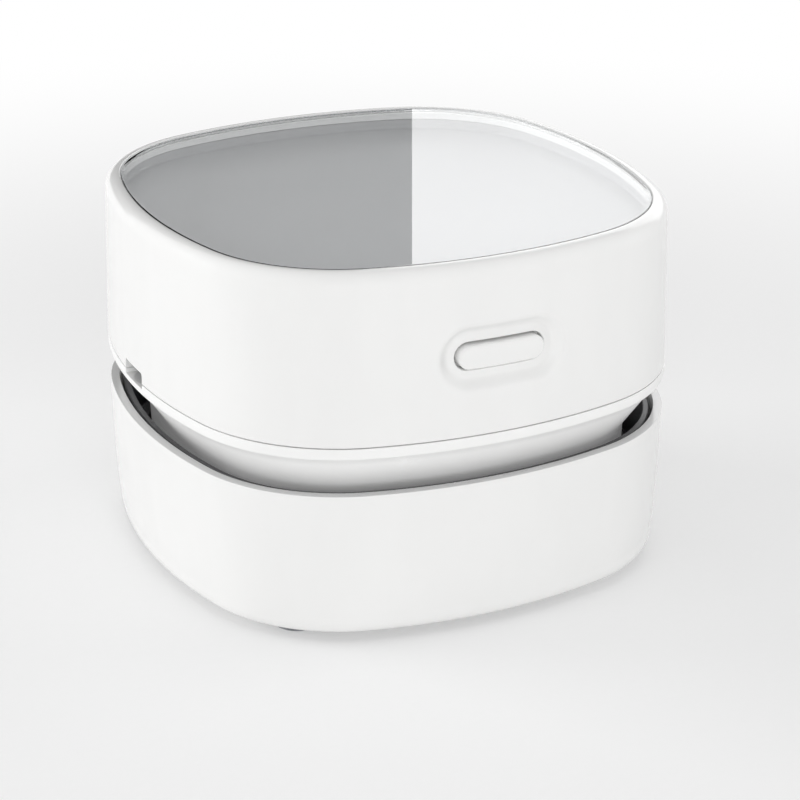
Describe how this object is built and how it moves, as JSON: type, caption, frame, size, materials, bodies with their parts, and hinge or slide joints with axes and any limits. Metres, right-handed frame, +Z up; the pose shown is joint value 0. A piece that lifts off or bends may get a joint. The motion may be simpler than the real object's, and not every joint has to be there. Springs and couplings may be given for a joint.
{
  "type": "desktop vacuum cleaner",
  "caption": "Small rounded-square desk vacuum: an upper unit with motor, fan and push button lifts off a dust housing with filter and brushed suction mouth.",
  "frame": {"origin": "on the desk, under the middle of the body", "axes": "+Z up; the push button faces -Y, the charging port -X"},
  "size_m": [0.086, 0.086, 0.0604],
  "materials": {
    "white_gloss": "glossy",
    "white_satin": "satin",
    "dark_plastic": "satin",
    "tray_grey": "satin",
    "clear_window": "clear, glossy",
    "filter_felt": "felt",
    "seal_rubber": "matt",
    "bristle": "matt",
    "pad_felt": "felt",
    "steel": "satin",
    "magnet": "matt",
    "copper": "satin",
    "black_plastic": "satin",
    "plunger_grey": "satin",
    "board_green": "satin",
    "battery_wrap": "satin",
    "impeller_grey": "satin",
    "red_wire": "satin"
  },
  "bodies": {
    "dust_base": {"lower_housing": "white_gloss", "glide_pad_1": "pad_felt", "glide_pad_2": "pad_felt", "glide_pad_3": "pad_felt", "glide_pad_4": "pad_felt", "brush_front": "bristle", "brush_back": "bristle", "brush_left": "bristle", "brush_right": "bristle"},
    "filter": {"filter_frame": "dark_plastic", "filter_pad": "filter_felt", "seal_ring": "seal_rubber"},
    "main_unit": {"upper_housing": "white_gloss", "top_window": "clear_window", "top_tray": "tray_grey", "chassis": "white_gloss", "fan_plate": "white_satin", "case_screw_1": "steel", "case_screw_2": "steel", "case_screw_3": "steel", "case_screw_4": "steel", "motor_screw_1": "steel", "motor_screw_2": "steel", "board_screw_1": "steel", "board_screw_2": "steel", "push_switch": "black_plastic", "switch_board": "board_green", "usb_receptacle": "steel", "charge_board": "board_green", "motor_can": "steel", "motor_magnet_left": "magnet", "motor_magnet_right": "magnet", "motor_end_cap": "black_plastic", "motor_damper": "seal_rubber", "battery_pack": "battery_wrap", "motor_lead_1": "red_wire", "motor_lead_2": "red_wire", "battery_lead_1": "black_plastic", "battery_lead_2": "black_plastic"},
    "rotor": {"impeller": "impeller_grey", "motor_shaft": "steel", "motor_armature": "copper"},
    "button": {"power_button": "white_gloss"},
    "plunger": {"switch_plunger": "plunger_grey"}
  },
  "joints": [
    {"name": "main_unit_lift", "type": "slide", "parent": "dust_base", "child": "main_unit", "axis": [0, 0, 1], "range_m": [0, 0.06]},
    {"name": "filter_lift", "type": "slide", "parent": "dust_base", "child": "filter", "axis": [0, 0, 1], "range_m": [0, 0.03]},
    {"name": "impeller_spin", "type": "hinge", "parent": "main_unit", "child": "rotor", "pos_m": [0, 0, 0.02], "axis": [0, 0, 1], "continuous": true},
    {"name": "button_press", "type": "slide", "parent": "main_unit", "child": "button", "axis": [0, 1, 0], "range_m": [0, 0.001], "stiffness_N_per_m": 300, "springref_m": -0.004},
    {"name": "plunger_press", "type": "slide", "parent": "main_unit", "child": "plunger", "axis": [0, 1, 0], "range_m": [0, 0.001]}
  ],
  "couplings": [
    {"joint": "filter_lift", "follows": "main_unit_lift", "ratio": 0.5},
    {"joint": "plunger_press", "follows": "button_press", "ratio": 1}
  ]
}
